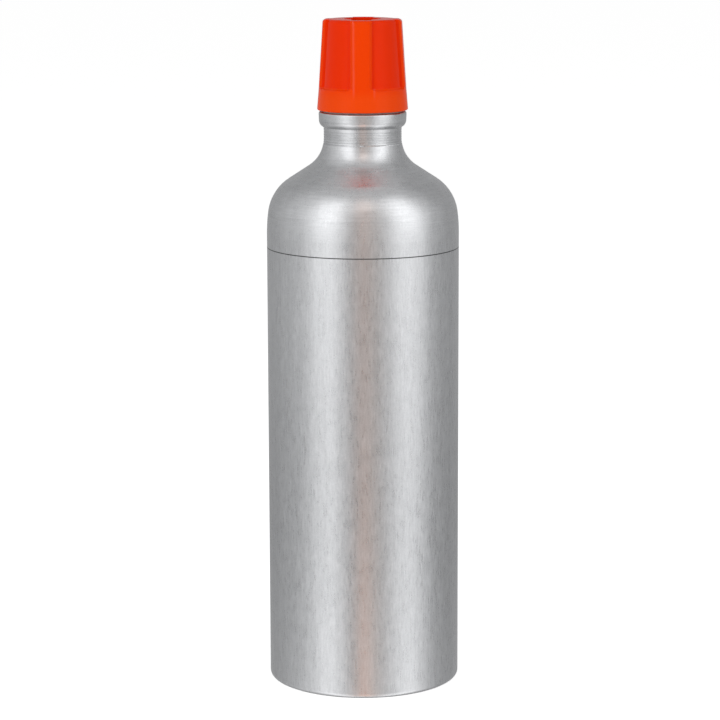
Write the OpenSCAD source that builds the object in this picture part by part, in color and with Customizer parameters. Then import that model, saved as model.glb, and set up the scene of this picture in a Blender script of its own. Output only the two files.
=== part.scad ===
/* [Bottle body] */
// Outer diameter of the straight side
body_d = 80; // [78:0.5:84]
// Height at which the shoulder starts to curve in
side_h = 190.3; // [120:0.1:220]
// Thickness of the side wall and shoulder
wall = 1; // [0.8:0.1:1.4]
// Thickness of the base
floor_t = 1.6; // [1.2:0.1:2.4]
// Radius of the outer edge round the foot
foot_edge = 2; // [1:0.25:3]
// Height of the dome that is pressed up into the base
dome_h = 3.5; // [2:0.5:6]
// Radius at which that dome meets the standing ring
dome_r = 33; // [30:1:35]

/* [Shoulder and neck] */
// Radius of the slow curve at the top of the side
ease_r = 62.5; // [50:0.5:80]
// Angle that the slow curve turns through
ease_a = 8.1; // [6:0.1:10]
// Radius of the round shoulder
shoulder_r = 18.9; // [16:0.1:21]
// Angle of the shoulder's straight slope, from upright
slope_a = 57; // [52:1:60]
// Radius of the hollow curve into the neck
hollow_r = 13.7; // [11:0.1:15]
// Outer diameter of the neck
neck_d = 32.3; // [31:0.1:33]
// Height of the neck, from the end of the hollow curve to the mouth
neck_h = 11; // [10:0.5:14]
// Diameter of the hole through the neck, at the bottom of its thread
mouth_d = 27.8; // [27.4:0.1:28.2]
// Largest diameter of the bead round the mouth
bead_d = 36.4; // [35.6:0.1:36.8]
// Radius of the rolled underside of the bead
bead_roll = 3.2; // [2.6:0.1:3.4]
// Number of fine rings turned round the neck
ring_n = 6; // [0:1:6]
// Distance from one turned ring to the next
ring_pitch = 1; // [0.8:0.1:1.1]

/* [Cap] */
// Height of the cap
cap_h = 37.4; // [36:0.1:44]
// Diameter at the foot of the skirt
cap_foot_d = 37.7; // [37.3:0.1:38.5]
// Diameter at the top of the skirt, where the ribs start
cap_ledge_d = 36.2; // [35.8:0.1:36.8]
// Diameter across the ribs at the top
cap_top_d = 32.7; // [32:0.1:34]
// Height of the skirt
skirt_h = 9; // [8.5:0.1:10]
// Number of ribs
rib_n = 4; // [2:2:4]
// Width of each rib
rib_w = 9; // [7:0.5:10]
// Depth of the panels between the ribs
panel_d = 1.5; // [1:0.1:1.8]
// Radius of the top edge
cap_edge = 1.4; // [0.8:0.1:1.8]
// Thickness of the cap's walls
cap_wall = 2.1; // [1.8:0.1:2.2]
// How far the cap is turned from square to the front when it is tight
cap_rest_turn = -2; // [-20:1:20]

/* [Pouring valve] */
// Travel of the nozzle
stroke = 5; // [4.6:0.1:5.4]
// Outer diameter of the nozzle
nozzle_d = 7.8; // [7.4:0.1:8]
// Diameter of the channel through the nozzle
channel_d = 4.4; // [3.8:0.1:4.4]
// Gap all round between the nozzle and its guide
slide_gap = 0.05; // [0.03:0.01:0.08]
// Diameter of the flange that sits on the gasket
flange_d = 33.2; // [32.6:0.1:33.4]
// Diameter of the collar at the bottom of its thread
collar_d = 29.2; // [28.6:0.1:29.4]
// Diameter of the plug at the bottom of its thread
plug_d = 25.8; // [25.4:0.1:26]
// Length of the plug below the flange
plug_h = 15.6; // [15:0.1:18]
// Length of the spring cage below the plug
cage_h = 22; // [21:0.5:24]
// Width across the head that the socket in the cap turns
wing_l = 24; // [22:0.5:24]
// Thickness of the head's wings
wing_w = 7.6; // [7:0.1:8]

/* [Return spring] */
// Diameter of the wire
wire_d = 1.1; // [0.9:0.1:1.1]
// Diameter of the spring, from wire centre to wire centre
spring_d = 12; // [11.6:0.1:12.6]
// Number of turns
spring_turns = 6; // [5:0.5:6]

/* [Hidden] */
$fn = 128;

aluminium = "#b9bbbd";
cap_orange = "#e83c08";
acetal_black = "#232427";
acetal_white = "#e9e6dc";
rubber_black = "#1a1a1a";
steel = "#a9adb1";
brass = "#c29a4a";

// A cut reaches this far past the face that it opens
past = 1;

// Corner points of the shoulder, as [radius, height], for a skin lying inset inside the outer one
function along(a) = [cos(a), sin(a)];
slope_l = (body_d / 2 - ease_r * (1 - cos(ease_a)) - shoulder_r * (cos(ease_a) - cos(slope_a))
    - hollow_r * (1 - cos(slope_a)) - neck_d / 2) / sin(slope_a);
ease_c = [body_d / 2 - ease_r, side_h];
shoulder_c = ease_c + (ease_r - shoulder_r) * along(ease_a);
slope_top = shoulder_c + shoulder_r * along(slope_a) + slope_l * [-sin(slope_a), cos(slope_a)];
hollow_c = slope_top + hollow_r * along(slope_a);

// Heights above the ground
neck_z = hollow_c[1];
mouth_z = neck_z + neck_h;
bead_z = mouth_z - 3.5;
bead_edge = 0.8;
ring_z = neck_z - 2 * ring_pitch;
ring_r = 0.28;

gasket_t = 1.2;
flange_t = 2.8;
collar_h = 7.1;
head_h = 5.5;
flange_z = mouth_z + gasket_t;
collar_z = flange_z + flange_t;
shoulder_z = collar_z + collar_h;
head_z = shoulder_z + head_h;
seat_z = flange_z - plug_h;
nozzle_z = head_z + stroke + 0.4;

// The valve's small parts, outwards from the nozzle
nozzle_r = nozzle_d / 2;
guide_r = nozzle_r + slide_gap;
sleeve_r = guide_r + 2.65;
pocket_r = 9.4;
pocket_h = 12;
boss_r = 7.2;
wing_h = 4.6;
vent_r = 0.8;
stem_r = 2;
stem_gap = 0.05;
screw_r = 1.1;
port_r = 1.3;
port_z = seat_z + 2.4;
groove_z = head_z - 7.5;
groove_r = nozzle_r - 0.85;
seal_t = 1.2;
seal_r = 7.4;
plate_t = 2;
plate_r = 7.8;
plate_z = seat_z - seal_t - plate_t;
hub_h = 1.6;
hub_r = 4.9;
screw_head_r = 2.9;

cage_z = seat_z - cage_h;
cage_floor = 1.6;
cage_r = pocket_r - 0.1;
cage_wall = 1.1;
cage_grip = 5;
window_w = 7;
window_h = 14;

// The cap
foot_z = mouth_z + 0.6;
ledge_z = foot_z + skirt_h;
top_z = foot_z + cap_h;
skirt_a = atan((cap_foot_d - cap_ledge_d) / 2 / skirt_h);
rib_a = atan((cap_ledge_d - cap_top_d) / 2 / (cap_h - skirt_h));
skirt_edge = 0.6;
ledge_edge = 0.4;
ledge_round = panel_d - ledge_edge;
rib_foot = 1.5;
rib_edge = 0.8;
cap_bore_r = 15.9;
flange_room = 0.4;
web_z = nozzle_z + 0.9;
web_t = 1.8;
socket_z = web_z + web_t;
socket_gap = 0.4;
socket_r = boss_r + socket_gap;
socket_l = wing_l + 2 * socket_gap;
socket_w = wing_w + 2 * socket_gap;
nozzle_room = 1.5;
cap_seal_t = 1.4;
cap_seal_hold = 1.8;
cap_sleeve_r = 7.45;
cap_sleeve_in = 5.4;

// Distance of the cap's side from the axis at a height, on the ribs
function rib_r(z) = cap_ledge_d / 2 - (z - ledge_z) * tan(rib_a);

// The piece of a disc between its chord and its arc, from one angle to another
module arc_fill(centre, r, from, to) {
    corner = centre + r / cos((to - from) / 2) * along((from + to) / 2);
    intersection() {
        translate(centre) circle(r = r);
        polygon([centre + r * along(from), corner, centre + r * along(to)]);
    }
}

// Half section of the bottle's skin, lying inset inside the outer face, from a height up to a height
module skin(inset, from, edge, to) {
    r = body_d / 2 - inset;
    difference() {
        union() {
            polygon([
                [0, from + edge],
                [r, from + edge],
                [r, side_h],
                ease_c + (ease_r - inset) * along(ease_a),
                shoulder_c + (shoulder_r - inset) * along(slope_a),
                slope_top - inset * along(slope_a),
                [neck_d / 2 - inset, neck_z],
                [neck_d / 2 - inset, to],
                [0, to]
            ]);
            arc_fill(ease_c, ease_r - inset, 0, ease_a);
            arc_fill(shoulder_c, shoulder_r - inset, ease_a, slope_a);
            translate([0, from]) square([r - edge, edge + past]);
            translate([r - edge, from + edge]) circle(r = edge);
        }
        translate(hollow_c) circle(r = hollow_r + inset);
    }
}

// Half section of the bead round the mouth
module bead() {
    r = bead_d / 2;
    translate([r - bead_roll - 0.1, bead_z]) circle(r = bead_roll);
    polygon([
        [mouth_d / 2 - past, bead_z],
        [r - 0.1, bead_z],
        [r, mouth_z - bead_edge],
        [r - bead_edge, mouth_z],
        [mouth_d / 2 - past, mouth_z]
    ]);
    translate([r - bead_edge, mouth_z - bead_edge]) circle(r = bead_edge);
}

// The turned rings follow the neck's own outline
function neck_r(z) = z > neck_z ? neck_d / 2 : hollow_c[0] - sqrt(pow(hollow_r, 2) - pow(z - neck_z, 2));

module turned_rings() {
    for (i = [0 : 1 : ring_n - 1]) {
        z = ring_z + i * ring_pitch;
        translate([neck_r(z) + 0.08, z]) circle(r = ring_r);
    }
}

module bottle_shell() {
    dome_curve = (pow(dome_r, 2) + pow(dome_h, 2)) / (2 * dome_h);
    inner_z = mouth_z - plug_h - 3;
    color(aluminium)
    rotate_extrude()
    intersection() {
        square([body_d, mouth_z]);
        difference() {
            union() {
                skin(0, 0, foot_edge, mouth_z - bead_edge);
                bead();
            }
            turned_rings();
            translate([0, dome_h - dome_curve]) circle(r = dome_curve);
            difference() {
                intersection() {
                    skin(wall, floor_t, foot_edge + wall, mouth_z);
                    union() {
                        square([body_d, inner_z]);
                        polygon([
                            [0, inner_z],
                            [neck_r(inner_z) - wall, inner_z],
                            [mouth_d / 2, inner_z + 5],
                            [mouth_d / 2, mouth_z + past],
                            [0, mouth_z + past]
                        ]);
                    }
                }
                translate([0, dome_h - dome_curve]) circle(r = dome_curve + floor_t);
            }
            translate([0, mouth_z - past]) square([mouth_d / 2, 2 * past]);
        }
    }
}

// A plain tube standing on a height
module tube(r_out, r_in, z, h) {
    translate([0, 0, z])
    difference() {
        cylinder(r = r_out, h = h);
        translate([0, 0, -past]) cylinder(r = r_in, h = h + 2 * past);
    }
}

module neck_gasket() {
    color(rubber_black) tube(flange_d / 2 - 0.2, plug_d / 2 + 0.4, mouth_z, gasket_t);
}

// Outline of the head, and of the socket that fits it
module key(r, l, w) {
    circle(r = r);
    intersection() {
        square([w, l], center = true);
        circle(r = l / 2);
    }
}

// Everything of the valve body that is turned, as a half section
module valve_section() {
    edge = 0.4;
    polygon([
        [0, seat_z],
        [sleeve_r, seat_z],
        [sleeve_r, seat_z + pocket_h],
        [pocket_r, seat_z + pocket_h],
        [pocket_r, seat_z],
        [plug_d / 2 - edge, seat_z],
        [plug_d / 2, seat_z + edge],
        [plug_d / 2, flange_z],
        [flange_d / 2 - edge, flange_z],
        [flange_d / 2, flange_z + edge],
        [flange_d / 2, collar_z - edge],
        [flange_d / 2 - edge, collar_z],
        [collar_d / 2, collar_z],
        [collar_d / 2, shoulder_z - edge],
        [collar_d / 2 - edge, shoulder_z],
        [boss_r, shoulder_z],
        [boss_r, head_z - edge],
        [boss_r - edge, head_z],
        [0, head_z]
    ]);
}

module valve_body() {
    color(acetal_black)
    difference() {
        union() {
            rotate_extrude() valve_section();
            translate([0, 0, shoulder_z - past])
            linear_extrude(wing_h + past)
            intersection() {
                square([wing_w, wing_l], center = true);
                circle(r = wing_l / 2);
            }
        }
        translate([0, 0, seat_z - past]) cylinder(r = guide_r, h = head_z - seat_z + 2 * past);
        translate([(guide_r + sleeve_r) / 2, 0, seat_z - past])
        cylinder(r = vent_r, h = head_z - seat_z + 2 * past);
    }
}

module pour_nozzle() {
    tip = 2.4;
    tip_in = 0.7;
    color(acetal_white)
    difference() {
        rotate_extrude()
        polygon([
            [screw_r + stem_gap, plate_z + 0.2],
            [stem_r, plate_z + 0.2],
            [stem_r, seat_z],
            [nozzle_r, seat_z],
            [nozzle_r, groove_z - 0.6],
            [groove_r, groove_z - 0.6],
            [groove_r, groove_z + 0.6],
            [nozzle_r, groove_z + 0.6],
            [nozzle_r, nozzle_z - tip],
            [nozzle_r - tip_in, nozzle_z],
            [channel_d / 2, nozzle_z],
            [channel_d / 2, seat_z + 1.1],
            [0, seat_z + 1.1],
            [0, seat_z + 0.4],
            [screw_r + stem_gap, seat_z + 0.4]
        ]);
        for (a = [0, 90]) {
            translate([0, 0, port_z])
            rotate([0, 90, a])
            cylinder(r = port_r, h = 2 * nozzle_r + 2 * past, center = true);
        }
    }
}

module nozzle_o_ring() {
    cord_r = (nozzle_r - groove_r + 0.03) / 2;
    color(rubber_black)
    rotate_extrude()
    translate([groove_r + cord_r, groove_z])
    circle(r = cord_r);
}

module poppet_seal() {
    color(rubber_black) tube(seal_r, stem_r + stem_gap, seat_z - seal_t, seal_t);
}

module valve_poppet() {
    color(acetal_white) {
        tube(plate_r, stem_r + stem_gap, plate_z, plate_t);
        tube(hub_r, screw_head_r + 0.2, plate_z - hub_h, hub_h);
    }
}

module poppet_screw() {
    head = 1.5;
    slot = 0.7;
    color(brass)
    difference() {
        union() {
            translate([0, 0, plate_z - head]) cylinder(r = screw_head_r, h = head);
            translate([0, 0, plate_z]) cylinder(r = screw_r, h = seat_z - plate_z);
        }
        translate([-screw_head_r - past, -slot / 2, plate_z - head - past])
        cube([2 * screw_head_r + 2 * past, slot, slot + past]);
    }
}

// The wire's centre line climbs slowly in the end turns and faster between them
spring_steps = 12;
spring_sides = 6;
spring_z = cage_z + cage_floor;
spring_l = plate_z - spring_z;
function climb(u) = u - 0.45 * sin(360 * u) / (2 * PI);
function wire_centre(u) = [
    spring_d / 2 * cos(360 * spring_turns * u),
    spring_d / 2 * sin(360 * spring_turns * u),
    spring_z + wire_d / 2 + (spring_l - wire_d) * climb(u)
];
function wire_ring(u) = [
    for (k = [0 : spring_sides - 1])
        let (a = 360 * k / spring_sides, out = 360 * spring_turns * u)
        wire_centre(u) + wire_d / 2 * [cos(a) * cos(out), cos(a) * sin(out), sin(a)]
];
spring_rings = spring_turns * spring_steps;
spring_points = [for (i = [0 : spring_rings]) each wire_ring(i / spring_rings)];
spring_gap = min([
    for (i = [0 : spring_rings - spring_steps])
        norm(wire_centre((i + spring_steps) / spring_rings) - wire_centre(i / spring_rings))
]) - wire_d;
echo(least_gap_between_turns = spring_gap);

module return_spring() {
    last = spring_rings * spring_sides;
    sides = [
        for (i = [0 : spring_rings - 1], k = [0 : spring_sides - 1])
            let (
                a = i * spring_sides + k,
                b = i * spring_sides + (k + 1) % spring_sides
            )
            each [[a, a + spring_sides, b + spring_sides], [a, b + spring_sides, b]]
    ];
    start_cap = [for (k = [1 : spring_sides - 2]) [0, k, k + 1]];
    end_cap = [for (k = [1 : spring_sides - 2]) [last, last + k + 1, last + k]];
    color(steel) polyhedron(points = spring_points, faces = concat(sides, start_cap, end_cap));
}

module spring_cage() {
    lip = 1.5;
    color(acetal_black)
    difference() {
        union() {
            translate([0, 0, cage_z]) cylinder(r = cage_r, h = cage_h + cage_grip);
            translate([0, 0, seat_z - lip]) cylinder(r = plug_d / 2 - 0.4, h = lip);
        }
        translate([0, 0, cage_z + cage_floor]) cylinder(r = cage_r - cage_wall, h = cage_h + cage_grip);
        translate([0, 0, cage_z - past]) cylinder(r = 4, h = cage_floor + 2 * past);
        for (a = [45 : 90 : 315]) {
            rotate([0, 0, a])
            translate([0, 0, cage_z + 4])
            rotate([90, 0, 90])
            linear_extrude(cage_r + past) {
                translate([-window_w / 2, window_w / 2]) square([window_w, window_h - window_w]);
                for (z = [window_w / 2, window_h - window_w / 2]) {
                    translate([0, z]) circle(r = window_w / 2);
                }
            }
        }
    }
}

module cap_gasket() {
    color(rubber_black) {
        tube(cap_sleeve_r + 0.85, nozzle_r + 0.7, head_z, cap_seal_t);
        tube(cap_sleeve_r + 0.85, cap_sleeve_r + 0.05, head_z + cap_seal_t, cap_seal_hold);
    }
}

// Half section of the cap's outside, lying in by a depth from the ribs' faces above the skirt
module cap_outline(depth) {
    r_foot = cap_foot_d / 2;
    r_ledge = cap_ledge_d / 2;
    skirt_c = [r_foot - skirt_edge * (tan(skirt_a) + 1 / cos(skirt_a)), foot_z + skirt_edge];
    top_c = [rib_r(top_z - cap_edge) - depth - cap_edge / cos(rib_a), top_z - cap_edge];
    polygon([
        [0, foot_z],
        [skirt_c[0], foot_z],
        skirt_c + skirt_edge * along(skirt_a),
        [r_ledge + ledge_edge * tan(skirt_a), ledge_z - ledge_edge],
        [r_ledge - (depth > 0 ? ledge_edge : 0), ledge_z],
        [r_ledge - depth, ledge_z],
        top_c + cap_edge * along(rib_a),
        [top_c[0], top_z],
        [0, top_z]
    ]);
    translate(skirt_c) circle(r = skirt_edge);
    translate(top_c) circle(r = cap_edge);
}

// Half section of the round that fills the corner between skirt and panel
module ledge_fill() {
    r = cap_ledge_d / 2 - ledge_edge;
    difference() {
        translate([r - ledge_round - past, ledge_z - past])
        square([ledge_round + past, ledge_round + past]);
        translate([r, ledge_z + ledge_round]) circle(r = ledge_round);
    }
}

// One rib as seen from the front, with its rounded foot, as wide at the top as at the bottom
module rib_face() {
    half = rib_w / 2;
    translate([-half, ledge_z - past]) square([rib_w, cap_h]);
    for (side = [-1, 1]) {
        difference() {
            translate([side * (half + rib_foot / 2), ledge_z + rib_foot / 2 - past / 2])
            square([rib_foot, rib_foot + past], center = true);
            translate([side * (half + rib_foot), ledge_z + rib_foot]) circle(r = rib_foot);
        }
    }
}

module ribs() {
    edge_x = sqrt(pow(cap_ledge_d / 2, 2) - pow(rib_w / 2, 2));
    intersection() {
        rotate_extrude() cap_outline(0);
        for (i = [0 : rib_n - 1]) {
            rotate([0, 0, 360 * i / rib_n])
            difference() {
                rotate([90, 0, 0]) linear_extrude(cap_foot_d / 2) rib_face();
                for (side = [-1, 1]) {
                    translate([side * rib_w / 2, -edge_x + rib_edge, ledge_z])
                    rotate([-rib_a, 0, 0])
                    rotate([0, 0, side * 45 - 90])
                    translate([0, -cap_foot_d / 2, rib_foot / 2])
                    cube([cap_foot_d / 2, cap_foot_d, cap_h]);
                }
            }
        }
    }
}

// Half section of the room inside the cap
module cap_room() {
    top = top_z - cap_wall;
    polygon([
        [0, foot_z - past],
        [flange_d / 2 + flange_room, foot_z - past],
        [flange_d / 2 + flange_room, collar_z + flange_room],
        [cap_bore_r, collar_z + flange_room],
        [cap_bore_r, shoulder_z + flange_room],
        [rib_r(shoulder_z + nozzle_room) - panel_d - cap_wall, shoulder_z + nozzle_room],
        [rib_r(top) - panel_d - cap_wall, top],
        [0, top]
    ]);
}

module closure_cap() {
    color(cap_orange)
    rotate([0, 0, cap_rest_turn])
    difference() {
        union() {
            difference() {
                union() {
                    rotate_extrude() {
                        cap_outline(panel_d);
                        ledge_fill();
                    }
                    ribs();
                }
                rotate_extrude() cap_room();
            }
            translate([0, 0, web_z])
            linear_extrude(top_z - past - web_z)
            key(socket_r + cap_wall, socket_l + 2 * cap_wall, socket_w + 2 * cap_wall);
            tube(cap_sleeve_r, cap_sleeve_in, head_z + cap_seal_t, web_z - head_z - cap_seal_t + past / 2);
        }
        translate([0, 0, socket_z])
        linear_extrude(cap_h)
        key(socket_r, socket_l, socket_w);
    }
}

bottle_shell();
neck_gasket();
valve_body();
pour_nozzle();
nozzle_o_ring();
poppet_seal();
valve_poppet();
poppet_screw();
return_spring();
spring_cage();
cap_gasket();
closure_cap();
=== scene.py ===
import bpy
import math
from mathutils import Matrix, Vector


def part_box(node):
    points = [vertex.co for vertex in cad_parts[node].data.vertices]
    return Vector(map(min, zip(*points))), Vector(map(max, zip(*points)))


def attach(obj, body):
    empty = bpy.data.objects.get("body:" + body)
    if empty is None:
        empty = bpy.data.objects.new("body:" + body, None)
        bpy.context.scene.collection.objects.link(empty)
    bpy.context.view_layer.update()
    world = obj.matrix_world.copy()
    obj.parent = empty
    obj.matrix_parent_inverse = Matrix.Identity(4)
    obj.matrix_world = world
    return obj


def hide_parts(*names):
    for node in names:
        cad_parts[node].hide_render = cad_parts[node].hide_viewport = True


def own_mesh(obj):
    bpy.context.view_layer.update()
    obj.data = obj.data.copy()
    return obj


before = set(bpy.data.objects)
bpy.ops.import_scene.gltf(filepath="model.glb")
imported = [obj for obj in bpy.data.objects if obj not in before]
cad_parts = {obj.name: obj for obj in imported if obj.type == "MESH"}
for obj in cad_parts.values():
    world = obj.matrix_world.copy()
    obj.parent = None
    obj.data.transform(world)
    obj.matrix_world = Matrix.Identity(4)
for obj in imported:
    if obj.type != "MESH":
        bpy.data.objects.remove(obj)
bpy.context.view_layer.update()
scene = bpy.context.scene

# One millimetre in the frame's metres
MM = 0.001

# Height of the plain line round the body, half its width, and how soft its edges are
LINE_Z = 184.2 * MM
LINE_HALF = 0.2 * MM
LINE_SOFT = 0.03 * MM
# Beyond this radius lies only the outer skin of the body
SKIN_R = 39.5 * MM
SKIN_SOFT = 0.1 * MM
# Between these heights the streaks of the body give way to the turned marks of shoulder and neck
STREAKS_END = 186 * MM
MARKS_START = 200 * MM

# The cap: how far the polished bands by its ribs are turned from square, its ledge and its ribs
BAND_TURN = math.radians(2)
LEDGE_Z = 249.95 * MM
LEDGE_R = 18.1 * MM
RIB_SLOPE = 0.0616
RIB_HALF = 4.5 * MM

# The spring's wire and turns, and how close its end turns lie, from 0 to 1
WIRE_R = 0.55 * MM
SPRING_TURNS = 6
SPRING_CLOSE = 0.45

# The photograph's camera, with its picture's width in pixels
PICTURE_PX = 720.0
SHIFT_PX = -3.28
LENS = 138.97
EYE = (0.0, -1149.7 * MM, 342.4 * MM)
LOOK_DOWN = math.radians(10.19)
ROLL = math.radians(-0.16)
# Where the lamps aim
MIDDLE = Vector((0.0, 0.0, 160 * MM))


class Value:
    """A number that varies over a surface. Arithmetic on it adds Math nodes."""

    def __init__(self, nodes, socket):
        self.nodes = nodes
        self.socket = socket

    def _math(self, operation, *terms):
        node = self.nodes.node("ShaderNodeMath", {"operation": operation}, *terms)
        return Value(self.nodes, node.outputs[0])

    def __add__(self, other):
        return self._math("ADD", self, other)

    __radd__ = __add__

    def __sub__(self, other):
        return self._math("SUBTRACT", self, other)

    def __rsub__(self, other):
        return self._math("SUBTRACT", other, self)

    def __mul__(self, other):
        return self._math("MULTIPLY", self, other)

    __rmul__ = __mul__

    def __truediv__(self, other):
        return self._math("DIVIDE", self, other)

    def __abs__(self):
        return self._math("ABSOLUTE", self)

    def larger(self, other):
        return self._math("MAXIMUM", self, other)

    def root(self):
        return self._math("SQRT", self)

    def angle_from(self, other):
        """The angle of the direction (other, self), in radians."""
        return self._math("ARCTAN2", self, other)

    def above(self, low, high):
        """0 below low, 1 above high, smooth between them. With low over high it falls instead."""
        node = self.nodes.node(
            "ShaderNodeMapRange", {"interpolation_type": "SMOOTHSTEP"}, self, low, high, 0.0, 1.0
        )
        return Value(self.nodes, node.outputs[0])

    def between(self, low, high, soft):
        """1 from low to high and 0 outside them, with edges that are soft by so much each way."""
        return self.above(low - soft, low + soft) * (1.0 - self.above(high - soft, high + soft))


class Nodes:
    """The nodes of a material or of the world, ending in an output."""

    def __init__(self, owner, output="ShaderNodeOutputMaterial"):
        owner.use_nodes = True
        self.owner = owner
        self.tree = owner.node_tree
        self.tree.nodes.clear()
        self.output = self.node(output)

    def node(self, kind, settings=None, *values, **named):
        """Adds a node: its settings first, then its sockets in order or by name."""
        node = self.tree.nodes.new(kind)
        for key, value in (settings or {}).items():
            setattr(node, key, value)
        for socket, value in zip(node.inputs, values):
            self.feed(socket, value)
        for key, value in named.items():
            self.feed(node.inputs[key.replace("_", " ")], value)
        return node

    def feed(self, socket, value):
        if isinstance(value, Value):
            self.tree.links.new(value.socket, socket)
        elif isinstance(value, bpy.types.NodeSocket):
            self.tree.links.new(value, socket)
        else:
            socket.default_value = value

    def surface(self, shader):
        self.feed(self.output.inputs["Surface"], shader.outputs[0])

    def place(self, stretch=(1, 1, 1), turn=(0, 0, 0)):
        """Object coordinates, stretched and turned."""
        coordinates = self.node("ShaderNodeTexCoord")
        mapping = self.node(
            "ShaderNodeMapping", {}, Vector=coordinates.outputs["Object"], Rotation=turn, Scale=stretch
        )
        return mapping.outputs[0]

    def axes(self):
        """The x, y and z of the surface point, in metres."""
        parts = self.node("ShaderNodeSeparateXYZ", {}, self.place())
        return [Value(self, socket) for socket in parts.outputs]

    def noise(self, place, scale, detail=2.0, rough=0.5):
        node = self.node(
            "ShaderNodeTexNoise", {}, Vector=place, Scale=scale, Detail=detail, Roughness=rough
        )
        return Value(self, node.outputs["Fac"])

    def blend(self, factor, first, second):
        """A colour between two colours."""
        node = self.node("ShaderNodeMix", {"data_type": "RGBA"})
        for place, value in zip((0, 6, 7), (factor, first, second)):
            self.feed(node.inputs[place], value)
        return node.outputs[2]

    def bump(self, height, depth, strength):
        node = self.node("ShaderNodeBump", {}, Strength=strength, Distance=depth, Height=height)
        return node.outputs["Normal"]


class Finish(Nodes):
    """A piece's material, with a Principled shader whose sockets take numbers, colours or links."""

    def __init__(self, name):
        super().__init__(bpy.data.materials.new(name))
        self.shader = self.node("ShaderNodeBsdfPrincipled")
        self.surface(self.shader)

    def set(self, **sockets):
        """Sets the shader's sockets, and gives the material back."""
        for key, value in sockets.items():
            self.feed(self.shader.inputs[key.replace("_", " ")], value)
        return self.owner


def rgb(red, green, blue):
    return (red, green, blue, 1.0)


def satin_aluminium():
    """Drawn aluminium with streaks up the side, turned marks above them, a few scuffs and the plain line."""
    f = Finish("satin_aluminium")
    x, y, z = f.axes()
    streaks = f.noise(f.place((1, 1, 0.16)), scale=1300.0, detail=3.0, rough=0.7)
    bands = f.noise(f.place((1, 1, 0.03)), scale=420.0)
    mottle = f.noise(f.place((1, 1, 0.6)), scale=230.0, detail=4.0, rough=0.7)
    grain = f.noise(f.place(), scale=1700.0, rough=0.7)
    marks = f.noise(f.place((0.05, 0.05, 1)), scale=1900.0, detail=3.0, rough=0.7)
    turned = z.above(STREAKS_END, MARKS_START)
    shade = (
        0.55 + (streaks - 0.5) * (1.0 - turned) * 1.15 + (bands - 0.5) * (1.0 - turned) * 0.35
        + (mottle - 0.5) * 0.6 + (grain - 0.5) * 0.7 + (marks - 0.5) * turned * 0.9
    )
    metal = f.blend(shade, rgb(0.46, 0.462, 0.466), rgb(0.70, 0.702, 0.708))
    # Scuffs run aslant, and only in some places
    scratches = f.noise(f.place((1, 1, 0.25), (0.5, 0.3, 0.8)), scale=420.0, detail=5.0, rough=0.75)
    scuffs = scratches.above(0.69, 0.74) * f.noise(f.place(), scale=30.0).above(0.62, 0.7)
    marked = f.blend(scuffs * 0.3, metal, rgb(0.25, 0.25, 0.252))
    outside = (x * x + y * y).root().above(SKIN_R - SKIN_SOFT, SKIN_R + SKIN_SOFT)
    line = outside * z.between(LINE_Z - LINE_HALF, LINE_Z + LINE_HALF, LINE_SOFT)
    relief = streaks * (1.0 - turned) + mottle * 0.6 + grain * 0.5 + marks * turned
    return f.set(
        Base_Color=f.blend(line, marked, rgb(0.012, 0.012, 0.013)),
        Metallic=1.0 - line,
        Roughness=0.3 + (mottle - 0.5) * 0.1 + (streaks - 0.5) * 0.2 + scuffs * 0.15,
        Normal=f.bump(relief, depth=0.08 * MM, strength=0.32),
    )


def moulded_orange():
    """Glossy plastic, painted shade in its panels, painted light under its ledge, polished bands by its ribs.
    """
    f = Finish("moulded_orange")
    mottle = f.noise(f.place(), scale=900.0, detail=3.0, rough=0.55)
    x, y, z = f.axes()
    radius = (x * x + y * y).root()
    rib_face = LEDGE_R - (z - LEDGE_Z) * RIB_SLOPE
    # Painted shade: the recessed panels get a darker colour that stands in for the shade in the recess
    shaded_panels = (rib_face - radius).above(0.2 * MM, 1.3 * MM) * z.above(LEDGE_Z, LEDGE_Z + 1.2 * MM)
    # Painted light: the band below the ledge gets a lighter colour that stands in for the light falling on it
    lit_skirt = 1.0 - z.above(LEDGE_Z - 4.5 * MM, LEDGE_Z + 1 * MM)

    def polished(aside):
        """1 in the bands by the edges of two opposite ribs, from the distance to their middle plane."""
        inner = aside.above(RIB_HALF - 0.9 * MM, RIB_HALF - 0.4 * MM)
        return inner * (1.0 - aside.above(RIB_HALF, RIB_HALF + 0.2 * MM))

    bands = polished(abs(x + y * BAND_TURN)).larger(polished(abs(y - x * BAND_TURN)))
    ribs = f.blend(mottle, rgb(0.85, 0.046, 0.0), rgb(0.88, 0.054, 0.0))
    # The panels are painted darker, as painted shade
    sides = f.blend(shaded_panels, ribs, rgb(0.83, 0.029, 0.0))
    return f.set(
        # The band below the ledge is painted lighter, as painted light
        Base_Color=f.blend(lit_skirt, sides, rgb(0.87, 0.064, 0.003)),
        Roughness=0.2 + (mottle - 0.5) * 0.12,
        Normal=f.bump(mottle, depth=0.02 * MM, strength=0.4),
        Specular_IOR_Level=0.06,
        Coat_Weight=bands * (1.0 - shaded_panels) * (1.0 - lit_skirt) * 0.8,
        Coat_Roughness=0.12,
    )


def mottled(name, dark, light, roughness, grain, metallic=0.0):
    """A nearly even finish, with a fine grain in its colour, its shine and its surface."""
    f = Finish(name)
    mottle = f.noise(f.place(), scale=grain, detail=3.0, rough=0.55)
    return f.set(
        Metallic=metallic,
        Base_Color=f.blend(mottle, rgb(*dark), rgb(*light)),
        Roughness=roughness + (mottle - 0.5) * 0.12,
        Normal=f.bump(mottle, depth=0.03 * MM, strength=0.5),
    )


def black_plastic():
    return mottled("black_acetal", (0.014, 0.014, 0.015), (0.026, 0.026, 0.028), 0.42, 1400.0)


def natural_plastic():
    return mottled("natural_acetal", (0.72, 0.7, 0.63), (0.8, 0.78, 0.71), 0.34, 900.0)


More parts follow.
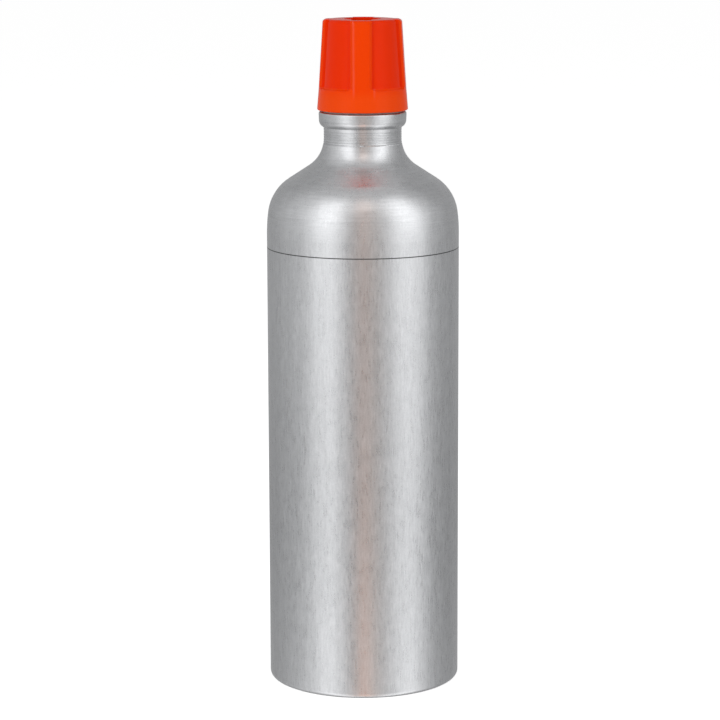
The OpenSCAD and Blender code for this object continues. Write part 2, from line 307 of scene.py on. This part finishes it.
def black_rubber():
    return mottled("seal_rubber", (0.012, 0.012, 0.012), (0.024, 0.023, 0.022), 0.62, 1800.0)


def pale_rubber():
    return mottled("pale_rubber", (0.42, 0.41, 0.4), (0.5, 0.49, 0.48), 0.5, 1800.0)


def spring_steel():
    return mottled("spring_wire", (0.46, 0.47, 0.48), (0.62, 0.63, 0.64), 0.26, 2200.0, 1.0)


def turned_brass():
    return mottled("turned_brass", (0.62, 0.42, 0.14), (0.78, 0.56, 0.24), 0.28, 1500.0, 1.0)


def dress(material, *nodes):
    """Gives a finish to nodes of the frame."""
    for node in nodes:
        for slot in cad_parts[node].material_slots:
            slot.material = material


def deselect():
    for o in bpy.context.selected_objects:
        o.select_set(False)


def keep(o, name, body, material):
    """Names a finished piece, gives it its finish and lets it ride on its body."""
    o.name = name
    o.data.name = name
    o.data.materials.clear()
    o.data.materials.append(material)
    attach(o, body)


def wound_spring(material):
    """The valve's spring: one round wire with close end turns, and with both ends ground flat."""
    low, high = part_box("return_spring")
    ground = WIRE_R * math.sin(math.radians(60))
    coil_r = high.x - WIRE_R
    bottom, top = low.z + ground, high.z - ground
    steps = 48 * SPRING_TURNS
    line = bpy.data.curves.new("return_spring_wire", "CURVE")
    line.dimensions = "3D"
    line.bevel_depth = WIRE_R
    line.bevel_resolution = 5
    line.use_fill_caps = True
    wire = line.splines.new("POLY")
    wire.points.add(steps)
    for i, point in enumerate(wire.points):
        u = i / steps
        climb = u - SPRING_CLOSE * math.sin(2 * math.pi * u) / (2 * math.pi)
        a = 2 * math.pi * SPRING_TURNS * u
        point.co = (coil_r * math.cos(a), coil_r * math.sin(a), bottom + (top - bottom) * climb, 1.0)
    o = bpy.data.objects.new("return_spring_wire", line)
    scene.collection.objects.link(o)
    deselect()
    o.select_set(True)
    bpy.context.view_layer.objects.active = o
    bpy.ops.object.convert(target="MESH")
    o = bpy.context.object
    bpy.ops.object.shade_smooth()
    for v in o.data.vertices:
        v.co.z = min(max(v.co.z, low.z), high.z)
    keep(o, "return_spring_wire", "valve", material)
    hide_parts("return_spring")
    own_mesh(o)


def thread(name, body, material, root, crest, lead, start, turns, phase=0.0):
    """One start of a right-handed thread from its root's radius to its crest's, fading in and out."""
    steps = int(96 * turns)
    fade_turns = 0.14
    # The foot of the thread lies a little inside the wall that it stands on
    foot = root - math.copysign(0.12 * MM, crest - root)
    half_foot, half_crest = 0.28 * lead, 0.1 * lead
    # Radius and height of the section's corners, in the order of the plane's corners
    section = [(foot, -half_foot), (crest, -half_crest), (foot, half_foot), (crest, half_crest)]
    deselect()
    bpy.ops.mesh.primitive_plane_add(size=1.0, location=(0, 0, 0))
    o = bpy.context.object
    for v, (r, height) in zip(o.data.vertices, section):
        v.co = (r, 0.0, height)
    twist = o.modifiers.new("twist", "SCREW")
    twist.angle = 2 * math.pi * turns
    twist.screw_offset = lead * turns
    twist.steps = twist.render_steps = steps
    twist.use_merge_vertices = False
    bpy.ops.object.modifier_apply(modifier=twist.name)
    for i, v in enumerate(o.data.vertices):
        u = (i // 4) / steps
        a = 2 * math.pi * turns * u + phase
        # Towards both ends the thread gets lower and narrower
        fade = min(1.0, u * turns / fade_turns, (1.0 - u) * turns / fade_turns)
        fade = 0.04 + 0.96 * fade * fade * (3 - 2 * fade)
        r, height = section[i % 4]
        r = foot + (r - foot) * fade
        height *= 0.35 + 0.65 * fade
        v.co = (r * math.cos(a), r * math.sin(a), start + lead * turns * u + height)
    bpy.ops.object.mode_set(mode="EDIT")
    bpy.ops.mesh.select_all(action="SELECT")
    bpy.ops.mesh.remove_doubles(threshold=0.001 * MM)
    bpy.ops.mesh.select_all(action="DESELECT")
    bpy.ops.mesh.select_non_manifold()
    bpy.ops.mesh.fill_holes(sides=8)
    bpy.ops.mesh.select_all(action="SELECT")
    bpy.ops.mesh.normals_make_consistent(inside=False)
    bpy.ops.object.mode_set(mode="OBJECT")
    bpy.ops.object.shade_smooth_by_angle(angle=math.radians(32))
    keep(o, name, body, material)


def camera():
    """The photograph's long lens, a little above the bottle and looking slightly down."""
    data = bpy.data.cameras.new("camera")
    data.sensor_width = 36.0
    data.lens = LENS
    data.shift_x = SHIFT_PX / PICTURE_PX
    data.clip_start = 50 * MM
    eye = bpy.data.objects.new("camera", data)
    scene.collection.objects.link(eye)
    eye.location = EYE
    level = math.radians(90.0)
    down = Matrix.Rotation(level - LOOK_DOWN, 4, "X")
    eye.rotation_euler = (down @ Matrix.Rotation(ROLL, 4, "Z")).to_euler()
    scene.camera = eye


def soft_box(name, azimuth, power):
    """A rectangular lamp that faces the bottle. Its azimuth turns to the right from the camera's side."""
    distance, height = 1.6, 0.75
    lamp = bpy.data.lights.new(name, "AREA")
    lamp.shape = "RECTANGLE"
    lamp.size, lamp.size_y = 0.9, 1.2
    lamp.energy = power
    box = bpy.data.objects.new(name, lamp)
    scene.collection.objects.link(box)
    a = math.radians(azimuth)
    box.location = (distance * math.sin(a), -distance * math.cos(a), height)
    box.rotation_euler = (MIDDLE - box.location).to_track_quat("-Z", "Y").to_euler()
    box.visible_camera = False
    box.visible_glossy = False


def light_tent():
    """A round tent of pale cloth, which only reflections see: two soft windows and a dimmer, warmer front."""
    deselect()
    bpy.ops.mesh.primitive_cylinder_add(
        vertices=64, radius=2.0, depth=8.0, end_fill_type="NGON", location=(0, 0, 0)
    )
    o = bpy.context.object
    o.name = "light_tent"
    f = Nodes(bpy.data.materials.new("tent_cloth"))
    x, y, z = f.axes()
    # Degrees from the camera's side, turning to the right, and height over distance
    turn = x.angle_from(y * -1.0) * (180.0 / math.pi)
    rise = z / (x * x + y * y).root().larger(0.05)
    # The left window has a wide dim part behind it, and both are dimmest a little below level
    left = turn.above(-150.0, -75.0) * 0.3 + turn.above(-82.0, -42.0) * 0.7
    left = left * (1.0 - turn.above(-40.0, -8.0))
    right = 1.0 - turn.above(58.0, 94.0) * 0.85 - turn.above(94.0, 130.0) * 0.15
    right = turn.above(12.0, 52.0) * right
    level = 1.02 - rise.above(-0.12, -0.2) * 0.95 + rise.above(-0.21, -0.31) * 1.2
    level = level + rise.above(-0.02, 0.25) * 0.4
    overhead = rise.above(1.0, 2.6)
    windows = (left + right * 0.97) * level * (1.0 - overhead)
    # The front is brighter near the ground, above level, and where the hollow of the neck reflects it
    front = (1.0 - abs(turn - 5.0).above(4.0, 26.0)) * (1.0 - rise.above(1.2, 2.6))
    low = rise.above(-0.2, -0.3)
    hollow = rise.above(0.6, 1.2) * (1.0 - rise.above(1.6, 3.0))
    front_level = low * 0.55 + rise.above(-0.13, 0.0) * 0.26 + hollow * 0.6
    behind = abs(turn).above(100.0, 150.0)
    below_level = rise.above(-0.1, -0.17) - rise.above(-0.22, -0.28)
    cloth = 0.4 + overhead * 0.26 + front * front_level + behind * 0.05 - below_level * 0.07
    # A narrow warm stripe stands straight in front
    stripe = 1.0 - abs(turn).above(1.0, 8.0)
    stripe = stripe * (rise.above(-0.25, -0.3) + rise.above(-0.13, -0.08) * 0.35)
    beige = f.blend(front, rgb(0.985, 0.995, 1.01), rgb(1.05, 0.985, 0.95))
    colour = f.blend(stripe, beige, rgb(1.75, 0.98, 0.72))
    f.surface(f.node("ShaderNodeEmission", {}, Color=colour, Strength=windows + cloth))
    o.data.materials.append(f.owner)
    o.visible_camera = False
    o.visible_diffuse = False
    o.visible_shadow = False


def floor():
    """A pale floor that keeps the shadow, white to the camera where the light reaches it."""
    deselect()
    bpy.ops.mesh.primitive_plane_add(size=12.0, location=(0, 0, 0))
    o = bpy.context.object
    o.name = "floor"
    f = Nodes(bpy.data.materials.new("pale_floor"))
    paper = f.node("ShaderNodeBsdfDiffuse", {}, Color=rgb(0.9, 0.9, 0.9))
    glow = f.node("ShaderNodeEmission", {}, Color=rgb(1, 1, 1), Strength=0.54)
    lit = f.node("ShaderNodeAddShader", {}, paper.outputs[0], glow.outputs[0])
    seen = f.node("ShaderNodeLightPath").outputs["Is Camera Ray"]
    f.surface(f.node("ShaderNodeMixShader", {}, seen, paper.outputs[0], lit.outputs[0]))
    o.data.materials.append(f.owner)
    o.visible_glossy = False


def surroundings():
    """White to the camera and in reflections, and a plain level of light on the object."""
    w = Nodes(bpy.data.worlds.new("studio"), "ShaderNodeOutputWorld")
    scene.world = w.owner
    rays = w.node("ShaderNodeLightPath").outputs
    camera_ray, glossy_ray, through_ray = [
        Value(w, rays[name]) for name in ("Is Camera Ray", "Is Glossy Ray", "Is Transmission Ray")
    ]
    seen = camera_ray.larger(glossy_ray).larger(through_ray)
    w.surface(w.node("ShaderNodeBackground", {}, Color=rgb(1, 1, 1), Strength=0.5 + seen * 0.5))


aluminium = satin_aluminium()
orange = moulded_orange()
black = black_plastic()
steel = spring_steel()
dress(aluminium, "bottle_shell")
dress(orange, "closure_cap")
dress(black, "valve_body", "spring_cage")
dress(natural_plastic(), "pour_nozzle", "valve_poppet")
dress(black_rubber(), "nozzle_o_ring", "poppet_seal", "cap_gasket")
dress(pale_rubber(), "neck_gasket")
dress(turned_brass(), "poppet_screw")
dress(steel, "return_spring")

camera()
surroundings()
floor()
soft_box("soft_box_left", -42, power=11)
soft_box("soft_box_right", 52, power=8)
light_tent()

wound_spring(steel)
# The cap's thread runs half a lead apart from the collar's, and the neck's from the plug's
thread(
    "collar_thread", "valve", black,
    root=14.6 * MM, crest=15.6 * MM, lead=4 * MM, start=245.9 * MM, turns=1.05,
)
thread(
    "cap_thread", "cap", orange,
    root=15.9 * MM, crest=14.9 * MM, lead=4 * MM, start=246.3 * MM, turns=1.05, phase=math.radians(-144),
)
thread(
    "plug_thread", "valve", black,
    root=12.9 * MM, crest=13.65 * MM, lead=3 * MM, start=229 * MM, turns=3.1,
)
thread(
    "neck_thread", "bottle", aluminium,
    root=13.9 * MM, crest=13.15 * MM, lead=3 * MM, start=229 * MM, turns=3.1, phase=math.radians(180),
)

scene.view_settings.view_transform = "Standard"
